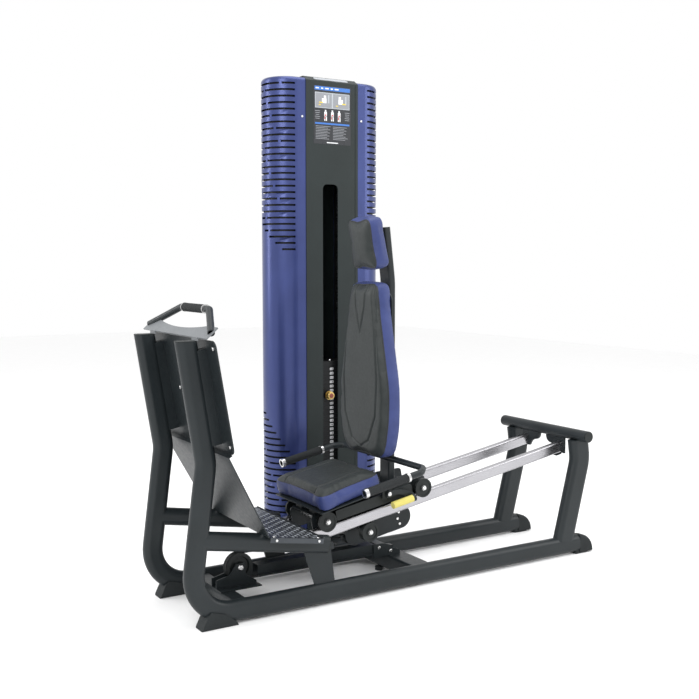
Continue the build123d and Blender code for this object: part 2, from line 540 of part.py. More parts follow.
def stack_parts():
    plates_top = STACK_TOP - TOP_PLATE_T
    first = plates_top - (PLATE_PITCH - PLATE_T_STACK)
    bottom = first - PLATE_PITCH * (PLATE_COUNT - 1) - PLATE_T_STACK
    pin_z = first - PLATE_PITCH * (LIFTED_COUNT - 1) - PLATE_T_STACK / 2
    rods = [round_z(STACK_X + s * GUIDE_HALF, STACK_Y, GUIDE_R, bottom - 70, HEAD_PLATE_Z) for s in (-1, 1)]

    def plate(z_low, z_high):
        solid = box_between((STACK_X - PLATE_HALF_X, STACK_Y - PLATE_HALF_Y, z_low),
                            (STACK_X + PLATE_HALF_X, STACK_Y + PLATE_HALF_Y, z_high))
        solid = fillet(solid.edges().filter_by(Axis.Z), 8)
        solid -= round_z(STACK_X, STACK_Y, STEM_R + HOLE_GAP, z_low, z_high)
        for side in (-1, 1):
            solid -= round_z(STACK_X + side * GUIDE_HALF, STACK_Y, GUIDE_R + HOLE_GAP, z_low, z_high)
        return solid

    tops = [first - PLATE_PITCH * i for i in range(PLATE_COUNT)]
    lifted = [plate(top - PLATE_T_STACK, top) for top in tops[:LIFTED_COUNT]]
    pin_hole = round_y((STACK_X, pin_z), PIN_R + RUNNING, STACK_Y - PLATE_HALF_Y - 1, STACK_Y + 16)
    lifted[-1] -= pin_hole
    keep("lifted_plates", lifted)
    keep("resting_plates", [plate(top - PLATE_T_STACK, top) for top in tops[LIFTED_COUNT:]])
    top_plate = box_between((STACK_X - PLATE_HALF_X, STACK_Y - PLATE_HALF_Y, plates_top),
                            (STACK_X + PLATE_HALF_X, STACK_Y + PLATE_HALF_Y, STACK_TOP))
    top_plate = fillet(top_plate.edges().filter_by(Axis.Z), 8) - round_z(STACK_X, STACK_Y, STEM_R, 0, 2000)
    for side in (-1, 1):
        top_plate -= round_z(STACK_X + side * GUIDE_HALF, STACK_Y, GUIDE_R + HOLE_GAP, 0, 2000)
    keep("lifted_plates", top_plate)
    stem = round_z(STACK_X, STACK_Y, STEM_R, bottom + 4, STACK_TOP + 30) - pin_hole
    keep("selector_stem", stem + round_z(STACK_X, STACK_Y, 8, STACK_TOP + 30, STACK_TOP + 50))
    up = [Plane(origin=(STACK_X + s * 26, STACK_Y - 36, STACK_TOP)) for s in (-1, 1)]
    keep("selector_stem", [dome_head(plane, 8, 8) for plane in up])

    knob = fillet(round_y((STACK_X, pin_z), 17, STACK_Y - 95, STACK_Y - 78).edges(), 4)
    shaft = round_y((STACK_X, pin_z), PIN_R, STACK_Y - 78, STACK_Y + 15)
    keep("selector_pin", knob + shaft)
    keep("selector_pin", round_y((STACK_X, pin_z), 19.5, STACK_Y - 78, STACK_Y - 72)
         - round_y((STACK_X, pin_z), PIN_R, STACK_Y - 78, STACK_Y - 72))

    keep("guide_rods", rods)
    cradle = box_between((STACK_X - 146, STACK_Y - 45, bottom - 70), (STACK_X + 146, STACK_Y + 45, bottom - 30))
    keep("tower_inner_frame", cut(cradle, *rods))
    rings = [round_z(STACK_X + s * GUIDE_HALF, STACK_Y, 24, bottom - 30, bottom) for s in (-1, 1)]
    keep("rubber_pads", [cut(ring, *rods) for ring in rings])


# ---------------------------------------------------------------- sled under the rails
def sled_point(along, lift):
    return (SLED_END[0] + along * COS_R - lift * SIN_R, SLED_END[1] + along * SIN_R + lift * COS_R)


def sled_parts():
    middle = sled_point(-SLED_CENTRES / 2, 0)
    slot = Pos(*middle) * Rot(0, 0, math.degrees(RAIL_ANGLE)) * SlotCenterToCenter(SLED_CENTRES, 2 * SLED_R)
    centre = rail_point(ROLLER_X, -RAIL_TALL - ROLLER_R - GAP)
    axle = round_y(centre, AXLE_R - RUNNING, -128, 128)
    beam = side_extrude(slot, -SLED_HALF_WIDE, SLED_HALF_WIDE)
    keep("sled_beam", beam - axle)
    keep("sled_bolts", axle)
    roller = round_y(centre, ROLLER_R, 99, 127) - round_y(centre, AXLE_R, 99, 127)
    roller -= round_y(centre, ROLLER_R - 8, 124, 127) - round_y(centre, 16, 124, 127)
    keep("lower_rollers", both_sides(roller))
    keep("sled_bolts", both_sides(bolt_y(*centre, -128, -1, 9, 6)))
    keep("sled_bolts", [bolt_y(x, z, -SLED_HALF_WIDE, -1, 6, 4) for x, z in ((56, 250), (50, 224), (61, 202))])

    # pale band round the sled's rear end
    lift = SLED_R + 1.5
    spots = [sled_point(-30, lift), sled_point(0, lift), sled_point(lift, 0), sled_point(0, -lift),
             sled_point(-62, -lift)]
    spots = [(x, 0, z) for x, z in spots]
    path = Wire([Line(spots[0], spots[1]), ThreePointArc(spots[1], spots[2], spots[3]), Line(spots[3], spots[4])])
    start = Plane(origin=path @ 0, x_dir=(0, 1, 0), z_dir=path % 0)
    keep("sled_band", sweep(start * Rectangle(52, 3), path=path))

    # toothed latch bar between the rails, and the clevis that holds the cable
    bar = side_extrude(outline([rail_point(-150, -70), rail_point(8, -70), rail_point(8, -14),
                                rail_point(-150, -14)]), -6, 6)
    for i in range(7):
        bar -= round_y(rail_point(-132 + 22 * i, -26), 5, -7, 7)
    keep("sled_fittings", cut(bar, beam))
    clevis = side_extrude(outline([sled_point(-SLED_CENTRES - SLED_R - 14, -9), sled_point(-SLED_CENTRES - 30, -9),
                                   sled_point(-SLED_CENTRES - 30, 9), sled_point(-SLED_CENTRES - SLED_R - 14, 9)]),
                          CABLE_Y - 9, CABLE_Y + 9)
    keep("sled_fittings", cut(clevis, beam))


# ---------------------------------------------------------------- seat carriage
def carriage_parts():
    corners = [rail_point(-372, -44), rail_point(150, -44), rail_point(150, 50), rail_point(40, 66),
               rail_point(-120, 52), rail_point(-372, 40)]
    solid_plate = side_extrude(outline(corners, 12), 80, 86)
    centres = [rail_point(x, TREAD_R + GAP) for x in WHEEL_X]
    axles = [round_y(centre, AXLE_R - RUNNING, -138, 138) for centre in centres]
    keep("carriage_plates", both_sides(cut(solid_plate, *axles)))
    keep("carriage_bolts", axles)
    for name, centre in zip(("front_wheels", "rear_wheels"), centres):
        wheel = round_y(centre, TREAD_R, 94.5, 127) + round_y(centre, WHEEL_R, 127, 136)
        wheel += round_y(centre, 26, 90, 94.5)
        wheel -= round_y(centre, WHEEL_R - 7, 134, 136) - round_y(centre, 16, 134, 136)
        keep(name, both_sides(wheel - round_y(centre, AXLE_R, 80, 140)))
    keep("carriage_bolts", *[both_sides(bolt_y(*centre, -138, -1, 9, 6)) for centre in centres])

    beam = rail_box(-286, 62, 6, 46, 86, 124, 5)
    keep("side_beams", both_sides(beam))
    deck = rail_box(-362, 66, 40, 44, -80, 80)
    keep("seat_base", deck)
    under = seat_point(SEAT_LENGTH + 20, -SEAT_THICK - 5)
    pan_front = seat_point(6, -SEAT_THICK - 5)
    pan = [pan_front, under, seat_point(SEAT_LENGTH + 20, -SEAT_THICK - 1), seat_point(6, -SEAT_THICK - 1)]
    pan = side_extrude(outline(pan), -184, 184)
    posts = []
    for x in (-340, -150):
        z_high = pan_front[1] + (x - pan_front[0]) * SIN_S / COS_S + 12
        z_low = rail_point(x, 20)[1]
        post = box_between((x - 16, 30, z_low), (x + 16, 74, z_high))
        above = box_between((x - 40, 0, z_high - 60), (x + 40, 200, z_high + 60))
        lid = side_extrude(outline([seat_point(0, -SEAT_THICK - 5), seat_point(400, -SEAT_THICK - 5),
                                    seat_point(400, 60), seat_point(0, 60)]), -200, 200)
        under_deck = rail_box(-400, 120, -60, 44, -90, 90)
        posts += both_sides(cut(post & above, lid, under_deck))
    keep("seat_base", posts)
    keep("seat_base", cut(pan, side_extrude(outline(corners, 12), -86, -80), solid_plate, deck))

    # spine, its bracket plates and the grab tube behind the seat
    spine_path = FilletPolyline((21, 0, 350), (21, 0, 1180), (-4, 0, 1390), radius=400)
    bar_face = fillet(Rectangle(70, 30).vertices(), 8)
    spine_plane = Plane(origin=spine_path @ 0, x_dir=(0, 1, 0), z_dir=spine_path % 0)
    spine = cut(sweep(spine_plane * bar_face, path=spine_path), rail_box(-100, 150, -60, 44, -60, 60))
    grip_x, grip_z = -6.5, 482.0
    corners = [(-291, -321, 425), (-40, -321, 475), (grip_x, -285, grip_z)]
    corners += [(x, -y, z) for x, y, z in reversed(corners)]
    path = FilletPolyline(*corners, radius=24)
    start = Plane(origin=path @ 0, x_dir=(0, 1, 0), z_dir=path % 0)
    rod = sweep(start * Circle(12.5), path=path)
    keep("grip_tube", rod - sweep(start * Circle(10), path=path))
    keep("spine", cut(spine, rod))
    steady = start.origin
    along = start.z_dir
    def collar(radius, begin, end):
        plane = Plane(origin=steady + along * begin, x_dir=(0, 1, 0), z_dir=along)
        return extrude(plane * (Circle(radius) - Circle(12.5)), amount=end - begin)
    keep("seat_grips", both_sides(collar(16.5, 14, 190)))
    keep("carriage_bolts", both_sides(collar(17.5, 0, 14)), both_sides(collar(17.5, 190, 200)))

    plate_x = BACK_FRONT_X + BACK_THICK
    back_plate = extrude(Plane(origin=(plate_x, 0, 830), x_dir=(0, 1, 0), z_dir=(1, 0, 0))
                         * RectangleRounded(210, 620, 40), amount=5)
    keep("back_brackets", back_plate)
    blocks = [cut(box_between((plate_x + 5, -30, z - 24), (12, 30, z + 24)), spine) for z in (620, 1020)]
    tilt = Pos(*HEAD_CENTRE) * Rot(0, -HEAD_LEAN, 0)
    keep("back_brackets", tilt * Pos(40.5, 0, 0) * Box(5, 110, 150))
    blocks.append(cut(tilt * Pos(58, 0, 0) * Box(30, 50, 60), spine))
    keep("back_brackets", blocks)


def cushion_parts():
    plane = Plane(origin=(seat_point(0, -SEAT_THICK)[0], 0, seat_point(0, -SEAT_THICK)[1]),
                  x_dir=(COS_S, 0, SIN_S), z_dir=(-SIN_S, 0, COS_S))
    face = Polygon((0, -SEAT_HALF), (SEAT_LENGTH, 30 - SEAT_HALF), (SEAT_LENGTH, SEAT_HALF - 30), (0, SEAT_HALF),
                   align=None)
    seat = push(plane, fillet(face.vertices(), 40), SEAT_THICK)
    keep("seat_cushion", fillet(seat.edges(), 9))
    half = [(104, 1192), (122, 1110), (160, 940), (194, 790), (200, 700), (192, 600), (158, 500)]
    points = half + [(100, 475), (-100, 475)] + [(-y, z) for y, z in reversed(half)]
    back_plane = Plane(origin=(BACK_FRONT_X, 0, 0), x_dir=(0, 1, 0), z_dir=(1, 0, 0))
    back = push(back_plane, fillet(Polygon(*points, align=None).vertices(), 20), BACK_THICK)
    keep("back_cushion", back)
    head = fillet(Box(76, 192, 212).edges(), 14)
    keep("head_cushion", Pos(*HEAD_CENTRE) * Rot(0, -HEAD_LEAN, 0) * head)


def lever_parts():
    x, z = LEVER_PIVOT
    bracket = side_extrude(outline([(x - 26, z - 22), (x + 26, z - 14), (x + 26, z + 14), (x, z + 20),
                                    (x - 26, z + 12)], 6), -138, -132)
    boss = round_y((x, z - 4), 12, -132, -124)
    pin = round_y(LEVER_PIVOT, 6 - RUNNING, -147, -132)
    keep("side_beams", (bracket + boss) - pin)
    keep("carriage_bolts", pin + bolt_y(x, z, -147, -1, 9, 6))
    start, end = (-58.5, 319.0), (33.6, 336.0)
    edges = [Line((x - 12, z), (x - 12, z + 2)), ThreePointArc((x - 12, z + 2), (x, z + 13), (x + 14, z + 11)),
             ThreePointArc((x + 14, z + 11), (10, 368), (58, 346)), Line((58, 346), (54, 328)),
             Line((54, 328), (36, 324)), ThreePointArc((36, 324), (0, 350), (x + 12, z - 12)),
             ThreePointArc((x + 12, z - 12), (x - 8, z - 12), (x - 12, z))]
    arm = side_extrude(make_face(edges), -145, -140) - round_y(LEVER_PIVOT, 6, -150, -130)
    run = Line((start[0], -160, start[1]), (end[0], -160, end[1]))
    cap = extrude(Plane(origin=run @ 1, z_dir=run % 0) * Circle(13.9), amount=12)
    link = box_between((38.5, -152, 328), (46, -144, 346))
    keep("lever_arm", arm + link + cap)
    keep("lever_grip", extrude(Plane(origin=run @ 0, z_dir=run % 0) * Circle(14), amount=run.length))


core_solid = frame_parts()
rail_parts()
step_solid = step_parts(core_solid)
foot_parts(core_solid, step_solid)
handle_parts()
drive_parts()
cable_parts()
tower_parts()
stack_parts()
sled_parts()
carriage_parts()
cushion_parts()
lever_parts()

os.makedirs("parts", exist_ok=True)
for part_name, solids in parts.items():
    export_step(Compound(solids) if len(solids) > 1 else solids[0], f"parts/{part_name}.step")
print(len(parts), "nodes")
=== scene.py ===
import json
import math

import bmesh
import bpy
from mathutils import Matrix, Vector


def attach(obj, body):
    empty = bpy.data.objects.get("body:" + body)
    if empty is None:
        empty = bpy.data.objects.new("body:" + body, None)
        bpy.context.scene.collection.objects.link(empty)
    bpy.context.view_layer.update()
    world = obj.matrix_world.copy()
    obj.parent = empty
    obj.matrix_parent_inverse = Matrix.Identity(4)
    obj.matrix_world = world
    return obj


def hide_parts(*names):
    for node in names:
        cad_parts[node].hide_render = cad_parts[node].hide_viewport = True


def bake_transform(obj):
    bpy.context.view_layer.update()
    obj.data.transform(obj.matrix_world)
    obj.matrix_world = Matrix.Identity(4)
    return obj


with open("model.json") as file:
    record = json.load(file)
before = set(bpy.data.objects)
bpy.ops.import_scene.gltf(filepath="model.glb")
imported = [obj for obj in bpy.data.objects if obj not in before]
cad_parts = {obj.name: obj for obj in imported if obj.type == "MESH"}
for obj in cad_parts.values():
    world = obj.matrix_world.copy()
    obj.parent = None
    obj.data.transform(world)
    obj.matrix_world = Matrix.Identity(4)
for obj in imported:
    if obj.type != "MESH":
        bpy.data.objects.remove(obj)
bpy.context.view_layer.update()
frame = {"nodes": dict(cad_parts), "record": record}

# ------------------------------------------------------------------ places shared with the CAD (metres)
OFF = Vector((-0.001, -0.173, 0.0))
SLOPE = math.radians(12.0)
LEAN = math.radians(10.1)
# the stack, its pin and the front panel, in millimetres about the bench's centre plane, for at()
STACK_X, STACK_Y, STACK_FRONT = 33.0, 558.0, 498.0
STACK_LOW, PULLEY_TOP = 867.5, 1885.0
PLATE_TOP, PLATE_PITCH, PLATE_MIDDLE = 791.9, 19.2, 9.3
LIFTED, PLATES = 7, 24
PIN_FRONT = 461.8
PANEL_FRONT = 472.5
TOWER_AT, TOWER_STRAIGHT, TOWER_RADIUS = (0.042, 0.4055), 0.169, 0.106
# the dark sheets of painted shade inside the tower's ends: their inset from the shroud, their thickness and
# where their straight runs end
PAINTED_SHADE_INSET, PAINTED_SHADE_T = 0.014, 0.0012
PAINTED_SHADE_ENDS = (-0.083, 0.168)


def at(x, y, z):
    """A point given about the bench's centre plane, in millimetres, as a point of the row frame."""
    return Vector((x, y, z)) / 1000 + OFF


# ------------------------------------------------------------------ materials
def new_material(name):
    mat = bpy.data.materials.new(name)
    mat.use_nodes = True
    nodes, links = mat.node_tree.nodes, mat.node_tree.links
    return mat, nodes, links, nodes["Principled BSDF"]


def add(nodes, kind, **values):
    node = nodes.new(kind)
    for key, value in values.items():
        if key in node.inputs:
            node.inputs[key].default_value = value
        else:
            setattr(node, key, value)
    return node


def spread(nodes, links, coord, scale, low, high, detail=3.0, kind="noise"):
    """A noise value mapped into low..high."""
    if kind == "noise":
        tex = add(nodes, "ShaderNodeTexNoise", Scale=scale, Detail=detail)
        out = tex.outputs["Fac"]
    else:
        tex = add(nodes, "ShaderNodeTexVoronoi", Scale=scale)
        out = tex.outputs["Distance"]
    links.new(coord, tex.inputs["Vector"])
    ramp = nodes.new("ShaderNodeMapRange")
    ramp.inputs["From Min"].default_value = 0.25 if kind == "noise" else 0.0
    ramp.inputs["From Max"].default_value = 0.75 if kind == "noise" else 0.7
    ramp.inputs["To Min"].default_value = low
    ramp.inputs["To Max"].default_value = high
    links.new(out, ramp.inputs["Value"])
    return ramp.outputs["Result"]


def tone(nodes, links, fac, dark, light):
    mix = nodes.new("ShaderNodeMix")
    mix.data_type = "RGBA"
    mix.inputs[6].default_value = (*dark, 1)
    mix.inputs[7].default_value = (*light, 1)
    links.new(fac, mix.inputs[0])
    return mix.outputs[2]


def finish_material(name, colour, rough, metallic=0.0, vary=0.12, grain=400.0, bump=0.05, coat=0.0,
                    stretch=None, grain_kind="noise", rough_vary=0.06):
    """A coat, metal or moulded plastic: cloudy tone, uneven gloss and a fine surface relief."""
    mat, nodes, links, bsdf = new_material(name)
    place = nodes.new("ShaderNodeTexCoord").outputs["Object"]
    if stretch:
        mapping = nodes.new("ShaderNodeMapping")
        mapping.inputs["Scale"].default_value = stretch
        links.new(place, mapping.inputs["Vector"])
        grain_place = mapping.outputs["Vector"]
    else:
        grain_place = place
    cloud = spread(nodes, links, place, 7.0, 0.0, 1.0, 4.0)
    dark = tuple(c * (1 - vary) for c in colour)
    light = tuple(min(1, c * (1 + vary)) for c in colour)
    links.new(tone(nodes, links, cloud, dark, light), bsdf.inputs["Base Color"])
    gloss = spread(nodes, links, grain_place, grain * 0.12, rough - rough_vary, rough + rough_vary)
    links.new(gloss, bsdf.inputs["Roughness"])
    bsdf.inputs["Metallic"].default_value = metallic
    bsdf.inputs["Specular IOR Level"].default_value = 0.5 if metallic > 0.5 else 0.28
    bsdf.inputs["Coat Weight"].default_value = coat
    bsdf.inputs["Coat Roughness"].default_value = 0.18
    relief = spread(nodes, links, grain_place, grain, 0.0, 1.0, 2.0, grain_kind)
    node = add(nodes, "ShaderNodeBump", Strength=bump, Distance=0.001)
    links.new(relief, node.inputs["Height"])
    links.new(node.outputs["Normal"], bsdf.inputs["Normal"])
    return mat


def upholstery(name, axis, seam):
    """Synthetic leather: black above the seam plane, blue below it, with a pebbled grain."""
    mat, nodes, links, bsdf = new_material(name)
    place = nodes.new("ShaderNodeTexCoord").outputs["Object"]
    dot = nodes.new("ShaderNodeVectorMath")
    dot.operation = "DOT_PRODUCT"
    dot.inputs[1].default_value = axis
    links.new(place, dot.inputs[0])
    edge = nodes.new("ShaderNodeMapRange")
    edge.inputs["From Min"].default_value = seam - 0.0006
    edge.inputs["From Max"].default_value = seam + 0.0006
    links.new(dot.outputs["Value"], edge.inputs["Value"])
    cloud = spread(nodes, links, place, 14.0, 0.0, 1.0, 5.0)
    black = tone(nodes, links, cloud, (0.015, 0.019, 0.019), (0.024, 0.029, 0.029))
    blue = tone(nodes, links, cloud, (0.024, 0.036, 0.125), (0.036, 0.052, 0.170))
    mix = nodes.new("ShaderNodeMix")
    mix.data_type = "RGBA"
    links.new(edge.outputs["Result"], mix.inputs[0])
    links.new(blue, mix.inputs[6])
    links.new(black, mix.inputs[7])
    links.new(mix.outputs[2], bsdf.inputs["Base Color"])
    links.new(spread(nodes, links, place, 90.0, 0.42, 0.56), bsdf.inputs["Roughness"])
    bsdf.inputs["Specular IOR Level"].default_value = 0.32
    bsdf.inputs["Sheen Weight"].default_value = 0.03
    grain = spread(nodes, links, place, 620.0, 0.0, 1.0, 2.0, "voronoi")
    folds = spread(nodes, links, place, 45.0, 0.0, 1.0, 3.0)
    fine = add(nodes, "ShaderNodeBump", Strength=0.16, Distance=0.0006)
    soft = add(nodes, "ShaderNodeBump", Strength=0.10, Distance=0.003)
    links.new(grain, fine.inputs["Height"])
    links.new(folds, soft.inputs["Height"])
    links.new(soft.outputs["Normal"], fine.inputs["Normal"])
    links.new(fine.outputs["Normal"], bsdf.inputs["Normal"])
    return mat


MATS = {
    "frame_paint": finish_material("frame_paint", (0.013, 0.017, 0.019), 0.40, 0.0, 0.14, 700, 0.06, 0.05),
    "shroud_blue": finish_material("shroud_blue", (0.034, 0.050, 0.170), 0.34, 0.55, 0.10, 900, 0.05, 0.2),
    "panel_dark": finish_material("panel_dark", (0.014, 0.020, 0.020), 0.46, 0.0, 0.12, 1100, 0.10),
    "black_plastic": finish_material("black_plastic", (0.012, 0.015, 0.015), 0.42, 0.0, 0.2, 800, 0.12),
    "rubber_black": finish_material("rubber_black", (0.013, 0.016, 0.017), 0.68, 0.0, 0.25, 420, 0.35,
                                    grain_kind="voronoi"),
    "rail_chrome": finish_material("rail_chrome", (0.42, 0.415, 0.435), 0.27, 1.0, 0.05, 60, 0.02,
                                   stretch=(1, 40, 40), rough_vary=0.05),
    "bright_steel": finish_material("bright_steel", (0.66, 0.66, 0.66), 0.25, 1.0, 0.08, 500, 0.04),
    "handle_grey": finish_material("handle_grey", (0.17, 0.18, 0.19), 0.42, 0.2, 0.1, 700, 0.06),
    "tread_plate": finish_material("tread_plate", (0.060, 0.066, 0.074), 0.34, 0.75, 0.22, 260, 0.15),
    "foam_grip": finish_material("foam_grip", (0.014, 0.016, 0.017), 0.72, 0.0, 0.2, 1500, 0.4,
                                 grain_kind="voronoi"),
    "stack_black": finish_material("stack_black", (0.014, 0.015, 0.016), 0.42, 0.3, 0.2, 500, 0.1),
    "placard_print": finish_material("placard_print", (0.020, 0.022, 0.026), 0.3, 0.0, 0.1, 300, 0.02, 0.5),
    "badge_light": finish_material("badge_light", (0.42, 0.44, 0.47), 0.35, 0.6, 0.1, 300, 0.04),
    "belt_grey": finish_material("belt_grey", (0.62, 0.62, 0.64), 0.5, 0.0, 0.06, 300, 0.1),
    "cable_black": finish_material("cable_black", (0.015, 0.015, 0.016), 0.4, 0.0, 0.2, 800, 0.2),
    "lever_yellow": finish_material("lever_yellow", (0.66, 0.58, 0.15), 0.42, 0.0, 0.06, 500, 0.08, 0.1),
    "pin_gold": finish_material("pin_gold", (0.62, 0.45, 0.16), 0.3, 0.9, 0.12, 400, 0.05),
}
SLOT_OF = {part["node"]: part["material_slot"] for part in frame["record"]["subparts"]}
for node_name, node_object in frame["nodes"].items():
    slot_name = SLOT_OF[node_name]
    if slot_name in MATS:
        node_object.data.materials.clear()
        node_object.data.materials.append(MATS[slot_name])


# ------------------------------------------------------------------ mesh helpers
def mesh_object(name, bm, material, smooth=True):
    mesh = bpy.data.meshes.new(name)
    bmesh.ops.recalc_face_normals(bm, faces=bm.faces)
    bm.to_mesh(mesh)
    bm.free()
    obj = bpy.data.objects.new(name, mesh)
    bpy.context.collection.objects.link(obj)
    mesh.materials.append(material)
    for poly in mesh.polygons:
        poly.use_smooth = smooth
    return obj


def tube_mesh(points, radii, sides=20, closed=False):
    """A tube through points, with one radius per point, capped unless closed."""
    bm = bmesh.new()
    rings = []
    count = len(points)
    up = Vector((0, 0, 1))
    first = (points[1] - points[0]).normalized()
    if abs(first.dot(up)) > 0.9:
        up = Vector((0, 1, 0))
    across = first.cross(up).normalized()
    for i, point in enumerate(points):
        if closed:
            along = (points[(i + 1) % count] - points[i - 1]).normalized()
        else:
            along = (points[min(i + 1, count - 1)] - points[max(i - 1, 0)]).normalized()
        across = (across - along * across.dot(along)).normalized()
        other = along.cross(across)
        ring = []
        for k in range(sides):
            turn = 2 * math.pi * k / sides
            ring.append(bm.verts.new(point + (across * math.cos(turn) + other * math.sin(turn)) * radii[i]))
        rings.append(ring)
    spans = range(count) if closed else range(count - 1)
    for i in spans:
        a, b = rings[i], rings[(i + 1) % count]
        for k in range(sides):
            bm.faces.new((a[k], a[(k + 1) % sides], b[(k + 1) % sides], b[k]))
    if not closed:
        bm.faces.new(rings[0])
        bm.faces.new(rings[-1])
    return bm


def slab(bm, corner, u, v, thick):
    """A thin plate on the corner point, spanned by u and v, standing thick off it."""
    lift = u.cross(v).normalized() * thick
    low = [bm.verts.new(p) for p in (corner, corner + u, corner + u + v, corner + v)]
    high = [bm.verts.new(p.co + lift) for p in low]
    bm.faces.new(low[::-1])
    bm.faces.new(high)
    for i in range(4):
        j = (i + 1) % 4
        bm.faces.new((low[i], low[j], high[j], high[i]))


# ------------------------------------------------------------------ cushions
def rounded(points, radius, step=0.010):
    """A closed outline with its corners rounded, sampled about every step."""
    out = []
    count = len(points)
    for i, point in enumerate(points):
        before = (points[i - 1] - point)
        after = (points[(i + 1) % count] - point)
        reach = min(radius, before.length * 0.49, after.length * 0.49)
        a = point + before.normalized() * reach
        b = point + after.normalized() * reach
        for k in range(7):
            t = k / 6
            out.append(a * (1 - t) ** 2 + point * 2 * t * (1 - t) + b * t * t)
        gap = (points[(i + 1) % count] - b)
        far = min(radius, (points[(i + 1) % count] - point).length * 0.49)
        run = gap.length - far
        for k in range(1, max(1, int(run / step))):
            out.append(b + gap.normalized() * (run * k / max(1, int(run / step))))
    return out


def inset(points, distance):
    """The outline moved inwards."""
    count = len(points)
    middle = sum(points, Vector((0, 0))) / count
    out = []
    for i, point in enumerate(points):
        along = points[(i + 1) % count] - points[i - 1]
        normal = Vector((-along.y, along.x)).normalized()
        if normal.dot(middle - point) < 0:
            normal = -normal
        out.append(point + normal * distance)
    return out


def pad(name, points, thick, origin, ex, ey, ez, node, cap, grooves, seam, body="carriage"):
    """A stuffed cushion: a slightly small form is swollen as cloth, then sewn along its grooves."""
    bm = bmesh.new()
    layers = [(0.0, 0.012), (0.004, 0.006), (thick * 0.45, 0.005), (thick - 0.016, 0.007),
              (thick - 0.008, 0.016)]
    rings = []
    for depth, margin in layers:
        ring = [bm.verts.new(origin + ex * p.x + ey * p.y + ez * depth) for p in inset(points, margin)]
        rings.append(ring)
    for a, b in zip(rings, rings[1:]):
        for i in range(len(a)):
            j = (i + 1) % len(a)
            bm.faces.new((a[i], a[j], b[j], b[i]))
    bm.faces.new(rings[0][::-1])
    bm.faces.new(rings[-1])
    obj = mesh_object(name, bm, upholstery(name + "_leather", ez, seam + origin.dot(ez)))
    bpy.context.view_layer.objects.active = obj
    remesh = obj.modifiers.new("remesh", "REMESH")
    remesh.mode = "VOXEL"
    remesh.voxel_size = 0.006
    bpy.ops.object.select_all(action="DESELECT")
    obj.select_set(True)
    bpy.ops.object.modifier_apply(modifier="remesh")
    rest = [v.co.copy() for v in obj.data.vertices]
    cloth = obj.modifiers.new("cloth", "CLOTH")
    cloth.settings.quality = 4
    cloth.settings.mass = 0.3
    cloth.settings.tension_stiffness = 15
    cloth.settings.compression_stiffness = 15
    cloth.settings.use_pressure = True
    cloth.settings.uniform_pressure_force = 4.0
    cloth.settings.effector_weights.gravity = 0
    cloth.point_cache.frame_start = 1
    cloth.point_cache.frame_end = 20
    for step in range(1, 21):
        bpy.context.scene.frame_set(step)
    graph = bpy.context.evaluated_depsgraph_get()
    swollen = [v.co.copy() for v in obj.evaluated_get(graph).data.vertices]
    obj.modifiers.remove(cloth)
    bpy.context.scene.frame_set(1)
    for vert, old, new in zip(obj.data.vertices, rest, swollen):
        move = new - old
        if move.length > cap:
            move = move.normalized() * cap
        depth = (old - origin).dot(ez)
        hold = min(1.0, max(0.0, depth / (thick * 0.35)))
        back = move.dot(ez)
        if depth < thick * 0.35:
            move -= ez * back * (1 - hold)
        vert.co = old + move
    ease = obj.modifiers.new("ease", "SMOOTH")
    ease.factor, ease.iterations = 0.5, 14
    bpy.ops.object.modifier_apply(modifier="ease")
    sub = obj.modifiers.new("sub", "SUBSURF")
    sub.levels = sub.render_levels = 1
    bpy.ops.object.modifier_apply(modifier="sub")
    for vert in obj.data.vertices:
        local = vert.co - origin
        u, v, depth = local.dot(ex), local.dot(ey), local.dot(ez)
        if depth < seam:
            continue
        dip = 0.0
        for line in grooves:
            dip = max(dip, math.exp(-(distance_to(line, Vector((u, v))) / 0.0045) ** 2))
        vert.co -= ez * dip * 0.0045
    for poly in obj.data.polygons:
        poly.use_smooth = True

    # piping along the seam between the top and the sides
    cutter = bmesh.new()
    cutter.from_mesh(obj.data)
    loop = bmesh.ops.bisect_plane(cutter, geom=cutter.verts[:] + cutter.edges[:] + cutter.faces[:],
                                  plane_co=origin + ez * seam, plane_no=ez)["geom_cut"]
    ring = [e.co.copy() for e in loop if isinstance(e, bmesh.types.BMVert)]
    cutter.free()
    middle = sum(ring, Vector()) / len(ring)
    ring.sort(key=lambda p: math.atan2((p - middle).dot(ey), (p - middle).dot(ex)))
    count = 160
    even = []
    for i in range(count):
        turn = -math.pi + 2 * math.pi * i / count
        near = min(ring, key=lambda p: abs(math.atan2((p - middle).dot(ey), (p - middle).dot(ex)) - turn))
        even.append(near)
    smooth = even
    for _ in range(3):
        smooth = [(smooth[i - 1] + smooth[i] * 2 + smooth[(i + 1) % count]) / 4 for i in range(count)]
    pipe = mesh_object(name + "_piping", tube_mesh(smooth, [0.0026] * count, 10, True), MATS["piping"])
    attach(obj, body)
    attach(pipe, body)
    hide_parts(node)


def distance_to(line, p):
    best = 9.0
    for a, b in zip(line, line[1:]):
        ab = b - a
        t = max(0.0, min(1.0, (p - a).dot(ab) / ab.length_squared))
        best = min(best, (a + ab * t - p).length)
    return best


MATS["piping"] = finish_material("piping", (0.022, 0.024, 0.026), 0.45, 0.0, 0.15, 900, 0.2)

ex = Vector((math.cos(SLOPE), 0, math.sin(SLOPE)))
ez = Vector((-math.sin(SLOPE), 0, math.cos(SLOPE)))
ey = Vector((0, 1, 0))
seat_origin = at(-409, 0, 403) - ez * 0.070
seat_outline = rounded([Vector(p) for p in ((0, -0.206), (0.305, -0.180), (0.305, 0.180), (0, 0.206))], 0.045)
seat_lines = [[Vector((-0.01, s * 0.118)), Vector((0.15, s * 0.112)), Vector((0.32, s * 0.100))]
              for s in (-1, 1)]
pad("seat_pad", seat_outline, 0.070, seat_origin, ex, ey, ez, "seat_cushion", 0.016, seat_lines, 0.058)

